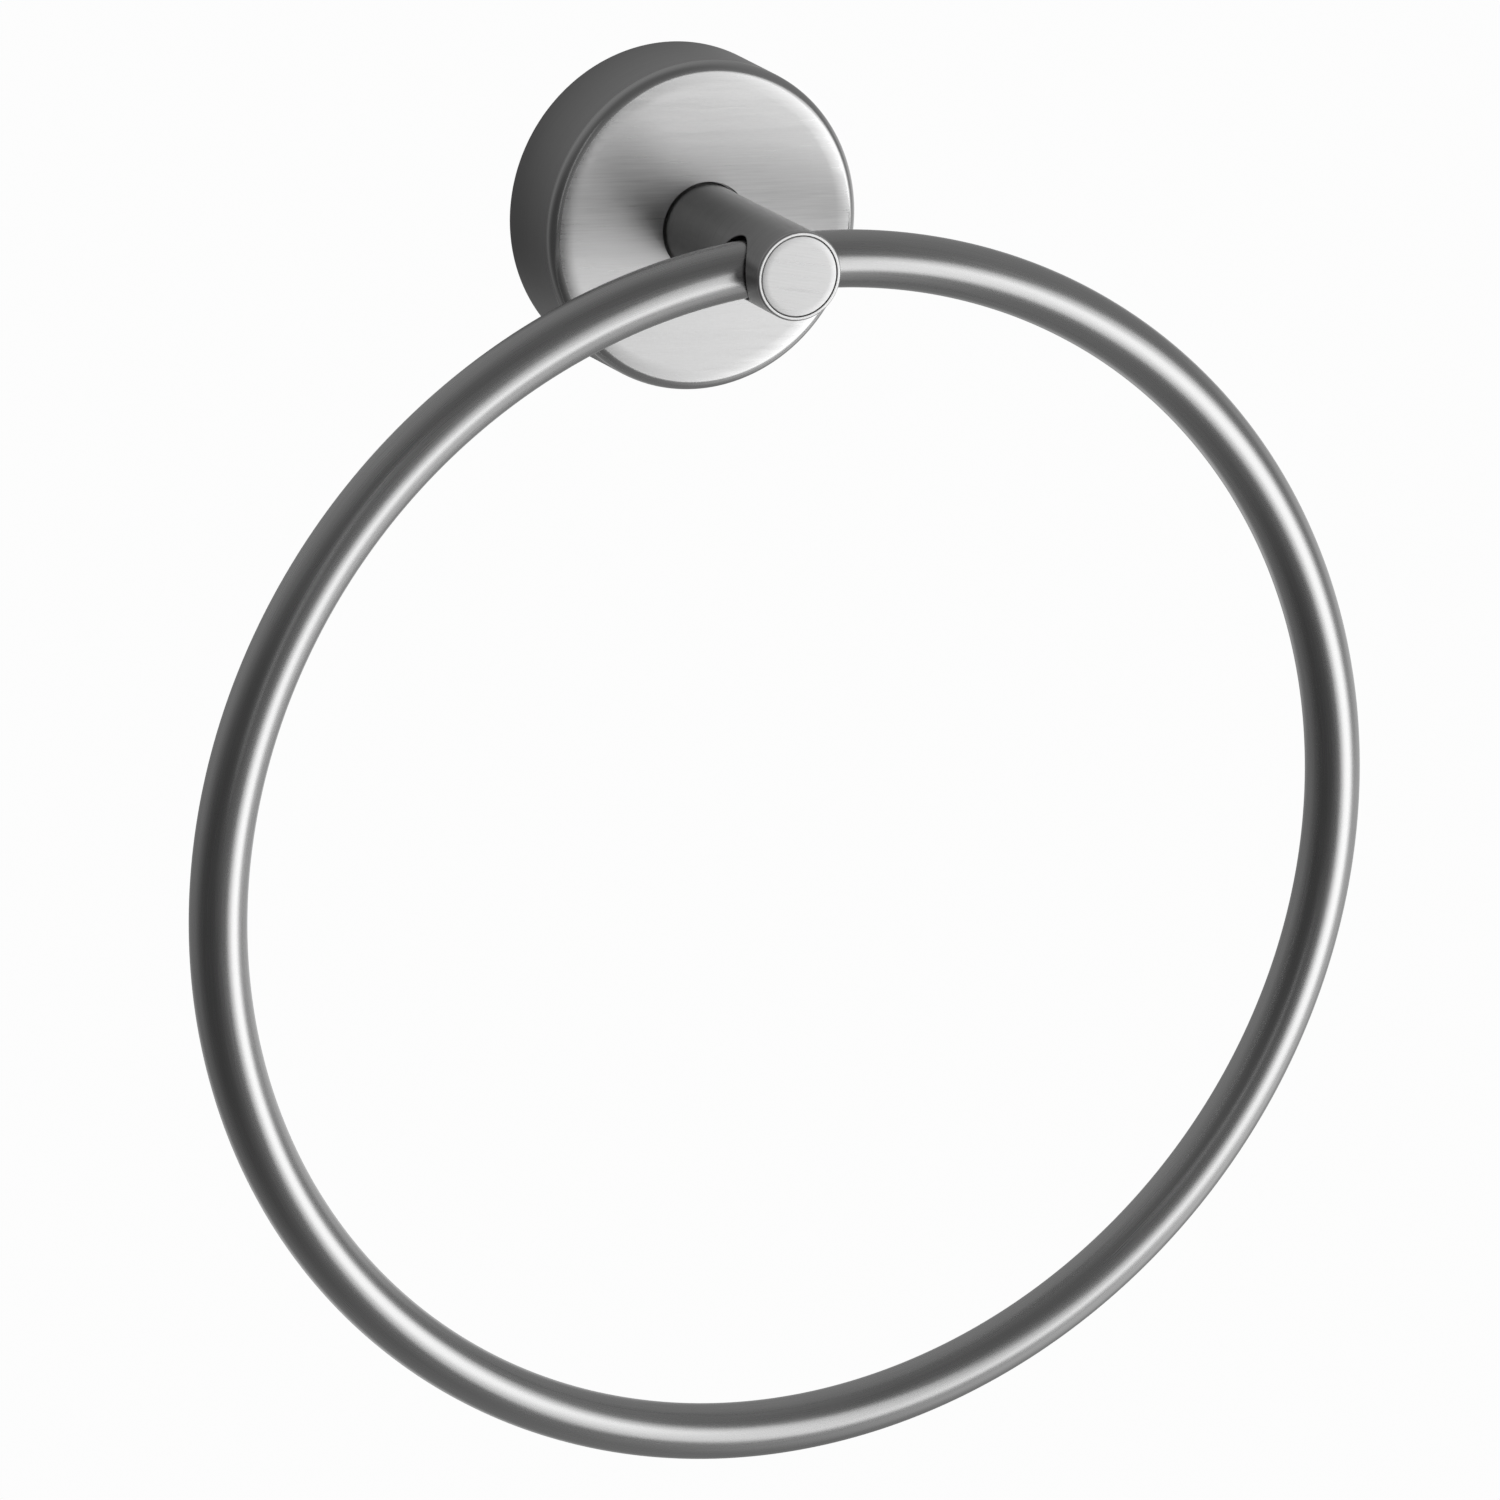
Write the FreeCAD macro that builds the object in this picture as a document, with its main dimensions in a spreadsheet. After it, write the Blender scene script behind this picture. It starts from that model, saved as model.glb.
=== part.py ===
import FreeCAD, Part
import Sketcher
import math
import os
from FreeCAD import Placement, Rotation, Vector

# A wall-mounted towel ring. A wall bracket with an undercut edge is screwed to the wall.
# A hub hooks over the bracket and is locked by a grub screw from below. A drawn cover is
# pressed over the hub, a post stands out of the hub through the cover, and the ring hangs
# loose in a cross bore near the post's end.
#
# Frame: millimetres, +Z up. The origin is the centre of the wall face, the wall is the plane
# y = 0, and the post stands out along -Y. A reach is a distance from the wall towards -Y.

DRIVING_SIZES = (
    # Ring
    ("ring_centreline_radius", 86.0),
    ("ring_rod_diameter", 8.0),
    ("ring_sag", 0.1),
    # Post
    ("ring_bore_spare", 0.8),
    ("ring_bore_wall", 1.85),
    ("ring_bore_setback", 8.5),
    ("post_end_reach", 46.0),
    ("post_lip_wall", 0.575),
    ("post_lip_rounding", 0.35),
    ("post_back_chamfer", 0.4),
    # Cap in the post's end
    ("cap_thickness", 1.6),
    ("cap_side_gap", 0.05),
    ("cap_edge_chamfer", 0.12),
    # Rosette cover
    ("cover_diameter", 47.0),
    ("cover_draft", 0.2),
    ("cover_depth", 14.5),
    ("cover_wall", 1.2),
    ("cover_rounding", 1.7),
    ("cover_post_gap", 0.35),
    ("cover_grub_gap", 0.5),
    # Wall bracket
    ("bracket_hub_gap", 1.7),
    ("bracket_undercut", 1.5),
    ("wall_screw_edge_distance", 7.5),
    ("wall_screw_hole_diameter", 4.5),
    ("wall_screw_head_diameter", 8.6),
    ("wall_screw_sink_angle", 90.0),
    # Hub
    ("hub_cover_gap", 0.1),
    ("hub_rim_wall", 3.0),
    ("hub_plate_thickness", 3.5),
    ("hub_front_chamfer", 0.9),
    ("hub_boss_diameter", 22.0),
    ("hub_boss_thickness", 5.0),
    ("hub_boss_gap", 1.3),
    ("hub_wall_gap", 0.4),
    ("hub_hook_setback", 1.4),
    ("hub_hook_angle", 76.0),
    ("hub_hook_gap", 0.1),
    ("post_seat_depth", 1.0),
    ("post_seat_gap", 0.05),
    # Screw that holds the post to the hub
    ("post_screw_diameter", 6.0),
    ("post_screw_head_diameter", 11.0),
    ("post_screw_length", 16.0),
    ("post_screw_hole_spare", 2.0),
    ("post_screw_recess", 0.2),
    ("post_screw_seat_gap", 0.02),
    ("post_screw_thread_gap", 0.05),
    ("post_screw_pass_gap", 0.2),
    ("post_screw_tip_chamfer", 0.6),
    ("post_screw_key_size", 4.0),
    ("post_screw_key_depth", 2.2),
    # Dowel pin that keeps the post from turning
    ("pin_diameter", 2.0),
    ("pin_length", 5.0),
    ("pin_edge_distance", 1.65),
    ("pin_hub_depth", 1.7),
    ("pin_end_gap", 0.1),
    ("pin_side_gap", 0.02),
    ("pin_chamfer", 0.25),
    # Grub screw that locks the hub on the bracket
    ("grub_diameter", 4.0),
    ("grub_setback", 2.4),
    ("grub_thread_gap", 0.05),
    ("grub_recess", 0.2),
    ("grub_point_radius", 0.4),
    ("grub_key_size", 2.0),
    ("grub_key_depth", 2.0),
)

# Sizes and places that follow from the driving ones.
DERIVED_SIZES = (
    ("ring_drop", "=ring_centreline_radius + ring_sag"),
    ("ring_bore_reach", "=post_end_reach - ring_bore_setback"),
    ("ring_bore_radius", "=(ring_rod_diameter + ring_bore_spare) / 2"),
    ("post_radius", "=ring_bore_radius + ring_bore_wall"),
    ("counterbore_radius", "=post_radius - post_lip_wall"),
    ("cap_radius", "=counterbore_radius - cap_side_gap"),
    ("cap_back_reach", "=post_end_reach - cap_thickness"),
    ("cover_radius", "=cover_diameter / 2"),
    ("cover_inner_reach", "=cover_depth - cover_wall"),
    ("cover_hole_radius", "=post_radius + cover_post_gap"),
    ("hub_radius", "=cover_radius - cover_wall - hub_cover_gap"),
    ("hub_rim_inner_radius", "=hub_radius - hub_rim_wall"),
    ("hub_plate_reach", "=cover_inner_reach - hub_plate_thickness"),
    ("post_seat_reach", "=cover_inner_reach - post_seat_depth"),
    ("post_seat_radius", "=post_radius + post_seat_gap"),
    ("hub_boss_reach", "=post_seat_reach - hub_boss_thickness"),
    ("bracket_thickness", "=hub_boss_reach - hub_boss_gap"),
    ("bracket_front_radius", "=hub_rim_inner_radius - bracket_hub_gap"),
    ("bracket_wall_radius", "=bracket_front_radius - bracket_undercut"),
    ("bracket_slope", "=bracket_undercut / bracket_thickness"),
    ("wall_screw_offset", "=bracket_front_radius - wall_screw_edge_distance"),
    ("hook_front_reach", "=bracket_thickness - hub_hook_setback"),
    ("hook_front_radius", "=bracket_wall_radius + bracket_slope * hook_front_reach + hub_hook_gap"),
    ("hook_wall_radius", "=bracket_wall_radius + bracket_slope * hub_wall_gap + hub_hook_gap"),
    ("screw_head_reach", "=hub_boss_reach + post_screw_recess"),
    ("screw_shank_radius", "=post_screw_diameter / 2 - post_screw_thread_gap"),
    ("screw_head_height", "=post_screw_head_diameter / 2 - screw_shank_radius"),
    ("screw_hole_reach", "=screw_head_reach + post_screw_length + post_screw_hole_spare"),
    ("screw_pass_radius", "=post_screw_diameter / 2 + post_screw_pass_gap"),
    ("sink_radius", "=post_screw_head_diameter / 2 + post_screw_recess + post_screw_seat_gap"),
    ("pin_offset", "=post_radius - pin_edge_distance"),
    ("pin_wall_reach", "=post_seat_reach - pin_hub_depth"),
    ("pin_front_reach", "=pin_wall_reach + pin_length"),
    ("pin_hole_radius", "=pin_diameter / 2 + pin_side_gap"),
    ("grub_wall_reach", "=bracket_thickness - grub_setback"),
    ("grub_outer_drop", "=hub_radius + hub_cover_gap - grub_recess"),
    ("grub_point_drop", "=bracket_wall_radius + bracket_slope * (grub_wall_reach + grub_point_radius)"),
    ("grub_length", "=grub_outer_drop - grub_point_drop"),
    ("grub_screw_radius", "=grub_diameter / 2 - grub_thread_gap"),
    ("grub_point_length", "=grub_screw_radius - grub_point_radius"),
)

# The numbers by which a sketch knows its origin, its axes and the points of an element.
ORIGIN_INDEX = -1
ACROSS_AXIS_INDEX = -1
UP_AXIS_INDEX = -2
START_INDEX = 1
END_INDEX = 2
CENTRE_INDEX = 3
SAME_TOLERANCE = 0.001
ROUGH_RADIUS = 10.0

doc = FreeCAD.newDocument("TowelRing")
sheet = doc.addObject("Spreadsheet::Sheet", "Sizes")
for row, (name, value) in enumerate(DRIVING_SIZES + DERIVED_SIZES, start=1):
    sheet.set("A%d" % row, name)
    sheet.set("B%d" % row, str(value))
    sheet.setAlias("B%d" % row, name)
doc.recompute()


def new_body(label):
    body = doc.addObject("PartDesign::Body", label)
    body.Label = label
    return body


def origin_plane(body, role):
    for feature in body.Origin.OriginFeatures:
        if feature.Role == role:
            return feature
    raise ValueError("no origin plane " + role)


def new_sketch(body, name, role, offset=None):
    """A sketch on one of the body's origin planes, or moved off it along its normal."""
    sketch = body.newObject("Sketcher::SketchObject", name)
    sketch.AttachmentSupport = [(origin_plane(body, role), "")]
    sketch.MapMode = "FlatFace"
    if offset is not None:
        sketch.setExpression(".AttachmentOffset.Base.z", offset)
    return sketch


def bind_constraint(sketch, constraint, expression):
    index = sketch.addConstraint(constraint)
    sketch.setExpression("Constraints[%d]" % index, expression)


def place_point(sketch, element, point, across, up):
    """Puts a point at two distances from the sketch's origin. None stands for zero."""
    if across is None:
        sketch.addConstraint(Sketcher.Constraint("PointOnObject", element, point, UP_AXIS_INDEX))
    else:
        distance = Sketcher.Constraint("DistanceX", ORIGIN_INDEX, START_INDEX, element, point, 1.0)
        bind_constraint(sketch, distance, across)
    if up is None:
        sketch.addConstraint(Sketcher.Constraint("PointOnObject", element, point, ACROSS_AXIS_INDEX))
    else:
        distance = Sketcher.Constraint("DistanceY", ORIGIN_INDEX, START_INDEX, element, point, 1.0)
        bind_constraint(sketch, distance, up)


def closed_profile(sketch, corners):
    """A closed outline of straight lines through the corners, each an (across, up) pair.
    It starts as a rough round outline, and its constraints pull it to its true shape."""
    count = len(corners)
    rough = []
    for index in range(count):
        turn = 2 * math.pi * index / count
        rough.append(Vector(ROUGH_RADIUS * math.cos(turn), ROUGH_RADIUS * math.sin(turn), 0))
    for index in range(count):
        line = Part.LineSegment(rough[index], rough[(index + 1) % count])
        sketch.addGeometry(line, False)
    for index in range(count):
        following = (index + 1) % count
        joined = Sketcher.Constraint("Coincident", index, END_INDEX, following, START_INDEX)
        sketch.addConstraint(joined)
    for index, (across, up) in enumerate(corners):
        place_point(sketch, index, START_INDEX, across, up)


def circle(sketch, across, up, radius):
    rough = Part.Circle(Vector(0, 0, 0), Vector(0, 0, 1), ROUGH_RADIUS)
    element = sketch.addGeometry(rough, False)
    bind_constraint(sketch, Sketcher.Constraint("Radius", element, 1.0), radius)
    place_point(sketch, element, CENTRE_INDEX, across, up)


def turned(body, name, sketch, axis="V_Axis"):
    """A full turn of the sketch about one of its own axes."""
    revolution = body.newObject("PartDesign::Revolution", name)
    revolution.Profile = sketch
    revolution.ReferenceAxis = (sketch, [axis])
    revolution.Angle = 360
    return revolution


def pocket_through(body, name, sketch, symmetric=False):
    """A cut right through the solid, against the sketch's normal or both ways."""
    pocket = body.newObject("PartDesign::Pocket", name)
    pocket.Profile = sketch
    pocket.Type = "ThroughAll"
    if symmetric:
        pocket.SideType = "Symmetric"
    return pocket


def rim_edges(feature, radius, reach):
    """Names of the feature's round edges of one radius at one reach from the wall."""
    names = []
    for number, edge in enumerate(feature.Shape.Edges, start=1):
        if not isinstance(edge.Curve, Part.Circle):
            continue
        same_radius = abs(edge.Curve.Radius - radius) < SAME_TOLERANCE
        same_reach = abs(edge.Curve.Center.y + reach) < SAME_TOLERANCE
        if same_radius and same_reach:
            names.append("Edge%d" % number)
    if not names:
        raise ValueError("no round edge on " + feature.Name)
    return names


def round_rim(body, name, base, radius, reach, rounding):
    fillet = body.newObject("PartDesign::Fillet", name)
    fillet.Base = (base, rim_edges(base, radius, reach))
    fillet.setExpression("Radius", rounding)
    doc.recompute()
    return fillet


def bevel_rim(body, name, base, radius, reach, width):
    chamfer = body.newObject("PartDesign::Chamfer", name)
    chamfer.Base = (base, rim_edges(base, radius, reach))
    chamfer.setExpression("Size", width)
    doc.recompute()
    return chamfer


def build_ring():
    """One closed ring of round rod. It hangs a little low in the bore that it passes through."""
    body = new_body("ring")
    section = new_sketch(body, "ring_section", "XY_Plane")
    circle(section, "Sizes.ring_centreline_radius", None, "Sizes.ring_rod_diameter / 2")
    turned(body, "ring_rod", section)
    body.setExpression(".Placement.Base.y", "-Sizes.ring_bore_reach")
    body.setExpression(".Placement.Base.z", "-Sizes.ring_drop")
    return body


def build_post():
    """A turned bar with a counterbore for the cap, a cross bore for the ring, and a blind
    screw hole and a pin hole in its back end."""
    body = new_body("post")
    profile = new_sketch(body, "post_profile", "XY_Plane")
    closed_profile(profile, (
        (None, "-Sizes.post_seat_reach"),
        ("Sizes.post_radius - Sizes.post_back_chamfer", "-Sizes.post_seat_reach"),
        ("Sizes.post_radius", "-Sizes.post_seat_reach - Sizes.post_back_chamfer"),
        ("Sizes.post_radius", "-Sizes.post_end_reach"),
        ("Sizes.counterbore_radius", "-Sizes.post_end_reach"),
        ("Sizes.counterbore_radius", "-Sizes.cap_back_reach"),
        (None, "-Sizes.cap_back_reach"),
    ))
    bar = turned(body, "post_bar", profile)
    doc.recompute()
    lip = round_rim(
        body, "post_lip", bar, sheet.post_radius, sheet.post_end_reach,
        "Sizes.post_lip_rounding")
    bevel_rim(
        body, "post_counterbore_edge", lip, sheet.counterbore_radius, sheet.post_end_reach,
        "Sizes.cap_edge_chamfer")
    bore = new_sketch(body, "ring_bore_outline", "YZ_Plane")
    circle(bore, "-Sizes.ring_bore_reach", None, "Sizes.ring_bore_radius")
    pocket_through(body, "ring_bore", bore, symmetric=True)
    screw_hole = new_sketch(body, "screw_hole_outline", "XZ_Plane", "Sizes.screw_hole_reach")
    circle(screw_hole, None, None, "Sizes.post_screw_diameter / 2")
    pocket_through(body, "screw_hole", screw_hole)
    pin_hole = new_sketch(
        body, "post_pin_outline", "XZ_Plane", "Sizes.pin_front_reach + Sizes.pin_end_gap")
    circle(pin_hole, None, "Sizes.pin_offset", "Sizes.pin_hole_radius")
    pocket_through(body, "post_pin_hole", pin_hole)
    return body


def build_post_cap():
    """A disc pressed into the post's counterbore, flush with the lip."""
    body = new_body("post_cap")
    profile = new_sketch(body, "cap_profile", "XY_Plane")
    closed_profile(profile, (
        (None, "-Sizes.cap_back_reach"),
        ("Sizes.cap_radius", "-Sizes.cap_back_reach"),
        ("Sizes.cap_radius", "-Sizes.post_end_reach"),
        (None, "-Sizes.post_end_reach"),
    ))
    disc = turned(body, "cap_disc", profile)
    doc.recompute()
    bevel_rim(
        body, "cap_edge", disc, sheet.cap_radius, sheet.post_end_reach,
        "Sizes.cap_edge_chamfer")
    return body


def build_rosette_cover():
    """A drawn cup, open at the wall, with a rounded front edge and two holes."""
    body = new_body("rosette_cover")
    profile = new_sketch(body, "cover_profile", "XY_Plane")
    closed_profile(profile, (
        (None, None),
        ("Sizes.cover_radius + Sizes.cover_draft", None),
        ("Sizes.cover_radius", "-Sizes.cover_depth"),
        (None, "-Sizes.cover_depth"),
    ))
    blank = turned(body, "cover_blank", profile)
    doc.recompute()
    rounded = round_rim(
        body, "cover_front_edge", blank, sheet.cover_radius, sheet.cover_depth,
        "Sizes.cover_rounding")
    shell = body.newObject("PartDesign::Thickness", "cover_shell")
    shell.Base = (rounded, [wall_face(rounded)])
    shell.setExpression("Value", "Sizes.cover_wall")
    shell.Reversed = True
    doc.recompute()
    post_hole = new_sketch(body, "cover_post_outline", "XZ_Plane", "Sizes.cover_depth")
    circle(post_hole, None, None, "Sizes.cover_hole_radius")
    pocket_through(body, "cover_post_hole", post_hole)
    grub_hole = new_sketch(body, "cover_grub_outline", "XY_Plane")
    circle(grub_hole, None, "-Sizes.grub_wall_reach", "Sizes.grub_diameter / 2 + Sizes.cover_grub_gap")
    pocket_through(body, "cover_grub_hole", grub_hole)
    return body


def wall_face(feature):
    """The name of the feature's flat face on the wall."""
    for number, face in enumerate(feature.Shape.Faces, start=1):
        box = face.BoundBox
        if box.YLength < SAME_TOLERANCE and abs(box.YMin) < SAME_TOLERANCE:
            return "Face%d" % number
    raise ValueError("no wall face on " + feature.Name)


def build_mounting_hub():
    """The carrier inside the cover. Its rim runs round the bracket, its boss takes the post's
    screw, and a hook on the upper part of the rim grips the bracket's undercut edge."""
    body = new_body("mounting_hub")
    profile = new_sketch(body, "hub_profile", "XY_Plane")
    closed_profile(profile, (
        (None, "-Sizes.hub_boss_reach"),
        ("Sizes.hub_boss_diameter / 2", "-Sizes.hub_boss_reach"),
        ("Sizes.hub_boss_diameter / 2", "-Sizes.hub_plate_reach"),
        ("Sizes.hub_rim_inner_radius", "-Sizes.hub_plate_reach"),
        ("Sizes.hub_rim_inner_radius", "-Sizes.hub_wall_gap"),
        ("Sizes.hub_radius", "-Sizes.hub_wall_gap"),
        ("Sizes.hub_radius", "-Sizes.cover_inner_reach + Sizes.hub_front_chamfer"),
        ("Sizes.hub_radius - Sizes.hub_front_chamfer", "-Sizes.cover_inner_reach"),
        ("Sizes.post_seat_radius", "-Sizes.cover_inner_reach"),
        ("Sizes.post_seat_radius", "-Sizes.post_seat_reach"),
        (None, "-Sizes.post_seat_reach"),
    ))
    turned(body, "hub_blank", profile)
    hook = new_sketch(body, "hook_section", "YZ_Plane")
    closed_profile(hook, (
        ("-Sizes.hub_wall_gap", "Sizes.hook_wall_radius"),
        ("-Sizes.hook_front_reach", "Sizes.hook_front_radius"),
        ("-Sizes.hook_front_reach", "Sizes.hub_rim_inner_radius + Sizes.hub_rim_wall / 2"),
        ("-Sizes.hub_wall_gap", "Sizes.hub_rim_inner_radius + Sizes.hub_rim_wall / 2"),
    ))
    arc = turned(body, "hub_hook", hook, "H_Axis")
    arc.setExpression("Angle", "Sizes.hub_hook_angle")
    arc.Midplane = True
    doc.recompute()
    sink = new_sketch(body, "screw_sink_section", "XY_Plane")
    closed_profile(sink, (
        (None, "-Sizes.hub_boss_reach"),
        ("Sizes.sink_radius", "-Sizes.hub_boss_reach"),
        ("Sizes.screw_pass_radius",
         "-Sizes.hub_boss_reach - Sizes.sink_radius + Sizes.screw_pass_radius"),
        ("Sizes.screw_pass_radius", "-Sizes.post_seat_reach"),
        (None, "-Sizes.post_seat_reach"),
    ))
    groove = body.newObject("PartDesign::Groove", "screw_sink")
    groove.Profile = sink
    groove.ReferenceAxis = (sink, ["V_Axis"])
    groove.Angle = 360
    pin_hole = new_sketch(body, "hub_pin_outline", "XZ_Plane", "Sizes.post_seat_reach")
    circle(pin_hole, None, "Sizes.pin_offset", "Sizes.pin_hole_radius")
    pin_pocket = body.newObject("PartDesign::Pocket", "hub_pin_hole")
    pin_pocket.Profile = pin_hole
    pin_pocket.setExpression("Length", "Sizes.pin_hub_depth + Sizes.pin_end_gap")
    grub_hole = new_sketch(body, "hub_grub_outline", "XY_Plane")
    circle(grub_hole, None, "-Sizes.grub_wall_reach", "Sizes.grub_diameter / 2")
    pocket_through(body, "hub_grub_hole", grub_hole)
    return body


def build_wall_bracket():
    """A round plate, wider at its front than at the wall, with two countersunk screw holes."""
    body = new_body("wall_bracket")
    profile = new_sketch(body, "bracket_profile", "XY_Plane")
    closed_profile(profile, (
        (None, None),
        ("Sizes.bracket_wall_radius", None),
        ("Sizes.bracket_front_radius", "-Sizes.bracket_thickness"),
        (None, "-Sizes.bracket_thickness"),
    ))
    turned(body, "bracket_plate", profile)
    outline = new_sketch(body, "wall_screw_outline", "XZ_Plane", "Sizes.bracket_thickness")
    circle(outline, None, "Sizes.wall_screw_offset", "Sizes.wall_screw_hole_diameter / 2")
    doc.recompute()
    hole = body.newObject("PartDesign::Hole", "wall_screw_hole")
    hole.Profile = outline
    hole.DepthType = "ThroughAll"
    hole.ThreadType = "None"
    hole.HoleCutType = "Countersink"
    hole.HoleCutCustomValues = True
    hole.setExpression("Diameter", "Sizes.wall_screw_hole_diameter")
    hole.setExpression("HoleCutDiameter", "Sizes.wall_screw_head_diameter")
    hole.setExpression("HoleCutCountersinkAngle", "Sizes.wall_screw_sink_angle")
    doc.recompute()
    mirrored = body.newObject("PartDesign::Mirrored", "second_screw_hole")
    mirrored.Originals = [hole]
    mirrored.MirrorPlane = (origin_plane(body, "XY_Plane"), [""])
    body.Tip = mirrored
    return body


def build_locating_pin():
    """A dowel pin with bevelled ends, above the post's screw."""
    body = new_body("locating_pin")
    profile = new_sketch(body, "pin_profile", "XY_Plane")
    closed_profile(profile, (
        (None, "-Sizes.pin_wall_reach"),
        ("Sizes.pin_diameter / 2 - Sizes.pin_chamfer", "-Sizes.pin_wall_reach"),
        ("Sizes.pin_diameter / 2", "-Sizes.pin_wall_reach - Sizes.pin_chamfer"),
        ("Sizes.pin_diameter / 2", "-Sizes.pin_front_reach + Sizes.pin_chamfer"),
        ("Sizes.pin_diameter / 2 - Sizes.pin_chamfer", "-Sizes.pin_front_reach"),
        (None, "-Sizes.pin_front_reach"),
    ))
    turned(body, "pin_rod", profile)
    body.setExpression(".Placement.Base.z", "Sizes.pin_offset")
    return body


def cylinder(name, radius, height, start):
    solid = doc.addObject("Part::Cylinder", name)
    solid.setExpression("Radius", radius)
    solid.setExpression("Height", height)
    solid.setExpression(".Placement.Base.z", start)
    return solid


def cone(name, first_radius, second_radius, height, start):
    solid = doc.addObject("Part::Cone", name)
    solid.setExpression("Radius1", first_radius)
    solid.setExpression("Radius2", second_radius)
    solid.setExpression("Height", height)
    solid.setExpression(".Placement.Base.z", start)
    return solid


def hex_socket(name, key_size, depth):
    """A hexagonal key's space, measured across its flats."""
    solid = doc.addObject("Part::Prism", name)
    solid.Polygon = 6
    solid.setExpression("Circumradius", key_size + " / sqrt(3)")
    solid.setExpression("Height", depth)
    return solid


def screw_with_socket(label, pieces, socket):
    """The screw's stacked solids as one, less its key's socket."""
    joined = doc.addObject("Part::MultiFuse", label + "_blank")
    joined.Shapes = pieces
    joined.Refine = True
    screw = doc.addObject("Part::Cut", label)
    screw.Label = label
    screw.Base = joined
    screw.Tool = socket
    return screw


def build_post_screw():
    """A countersunk socket screw that comes from the back through the hub into the post."""
    shank_end = "Sizes.post_screw_length - Sizes.post_screw_tip_chamfer"
    head = cone(
        "post_screw_head", "Sizes.post_screw_head_diameter / 2", "Sizes.screw_shank_radius",
        "Sizes.screw_head_height", "0")
    shank = cylinder(
        "post_screw_shank", "Sizes.screw_shank_radius",
        shank_end + " - Sizes.screw_head_height", "Sizes.screw_head_height")
    tip = cone(
        "post_screw_tip", "Sizes.screw_shank_radius",
        "Sizes.screw_shank_radius - Sizes.post_screw_tip_chamfer",
        "Sizes.post_screw_tip_chamfer", shank_end)
    socket = hex_socket("post_screw_key", "Sizes.post_screw_key_size", "Sizes.post_screw_key_depth")
    screw = screw_with_socket("post_screw", [head, shank, tip], socket)
    screw.Placement = Placement(Vector(0, 0, 0), Rotation(Vector(1, 0, 0), 90))
    screw.setExpression(".Placement.Base.y", "-Sizes.screw_head_reach")
    return screw


def build_grub_screw():
    """A socket set screw that points upwards in the hub's rim, its cone on the bracket's edge."""
    shank = cylinder(
        "grub_shank", "Sizes.grub_screw_radius", "Sizes.grub_length - Sizes.grub_point_length", "0")
    point = cone(
        "grub_point", "Sizes.grub_screw_radius", "Sizes.grub_point_radius",
        "Sizes.grub_point_length", "Sizes.grub_length - Sizes.grub_point_length")
    socket = hex_socket("grub_key", "Sizes.grub_key_size", "Sizes.grub_key_depth")
    screw = screw_with_socket("grub_screw", [shank, point], socket)
    screw.setExpression(".Placement.Base.y", "-Sizes.grub_wall_reach")
    screw.setExpression(".Placement.Base.z", "-Sizes.grub_outer_drop")
    return screw


def check_document():
    for item in doc.Objects:
        failed = [state for state in item.State if state in ("Invalid", "Error")]
        if failed:
            raise RuntimeError("%s is %s" % (item.Name, ", ".join(failed)))


def check_part(part):
    shape = part.Shape
    if shape.isNull() or not shape.isValid():
        raise RuntimeError(part.Label + " has no valid shape")
    if len(shape.Solids) != 1:
        raise RuntimeError("%s has %d solids" % (part.Label, len(shape.Solids)))


def export_parts(parts):
    os.makedirs("parts", exist_ok=True)
    for part in parts:
        part.Shape.exportStep("parts/%s.step" % part.Label)
        print("%-14s %10.2f mm3" % (part.Label, part.Shape.Volume))


PARTS = (
    build_wall_bracket(),
    build_mounting_hub(),
    build_rosette_cover(),
    build_post(),
    build_post_cap(),
    build_post_screw(),
    build_locating_pin(),
    build_grub_screw(),
    build_ring(),
)
doc.recompute()
check_document()
for built in PARTS:
    check_part(built)
export_parts(PARTS)
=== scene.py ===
import math

import bmesh
import bpy
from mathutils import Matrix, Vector


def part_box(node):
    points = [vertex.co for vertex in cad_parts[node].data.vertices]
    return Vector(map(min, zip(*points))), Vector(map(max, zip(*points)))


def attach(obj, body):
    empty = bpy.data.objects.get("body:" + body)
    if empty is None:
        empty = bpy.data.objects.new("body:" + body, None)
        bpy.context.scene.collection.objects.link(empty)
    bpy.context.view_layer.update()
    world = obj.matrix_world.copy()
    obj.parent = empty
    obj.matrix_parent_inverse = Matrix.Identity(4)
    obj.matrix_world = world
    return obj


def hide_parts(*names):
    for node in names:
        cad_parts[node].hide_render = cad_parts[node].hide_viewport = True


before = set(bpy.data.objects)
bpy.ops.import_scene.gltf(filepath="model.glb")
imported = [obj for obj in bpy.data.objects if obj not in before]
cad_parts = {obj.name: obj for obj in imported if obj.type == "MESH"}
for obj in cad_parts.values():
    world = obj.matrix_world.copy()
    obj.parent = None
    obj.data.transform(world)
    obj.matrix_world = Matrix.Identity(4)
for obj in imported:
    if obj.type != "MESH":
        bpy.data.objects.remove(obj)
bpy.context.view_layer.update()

# Towel ring in satin brushed steel. Metres, +Z up. The wall is the plane y = 0, and a reach is
# a distance from the wall towards -Y.
MM = 0.001

# Camera, solved from the outlines in the photograph: angles in degrees, lens and sensor in
# millimetres
CAMERA_TARGET = Vector((-4.20, -33.08, -70.82)) * MM
CAMERA_AZIMUTH = -23.50
CAMERA_ELEVATION = 18.25
CAMERA_ROLL = 2.02
CAMERA_DISTANCE = 1005.0 * MM
CAMERA_LENS = 171.83
CAMERA_SENSOR = 36.0
CAMERA_CLIP_START = 10.0 * MM

# Studio
WHITE = (1, 1, 1, 1)
BACKDROP_WHITE = 0.98
FLOOR_LEVEL = -0.42
FLOOR_SIZE = 12.0
ROOM_GREY = 0.205
LIGHT_AIM = Vector((0.0, -20.0, -50.0)) * MM
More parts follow.
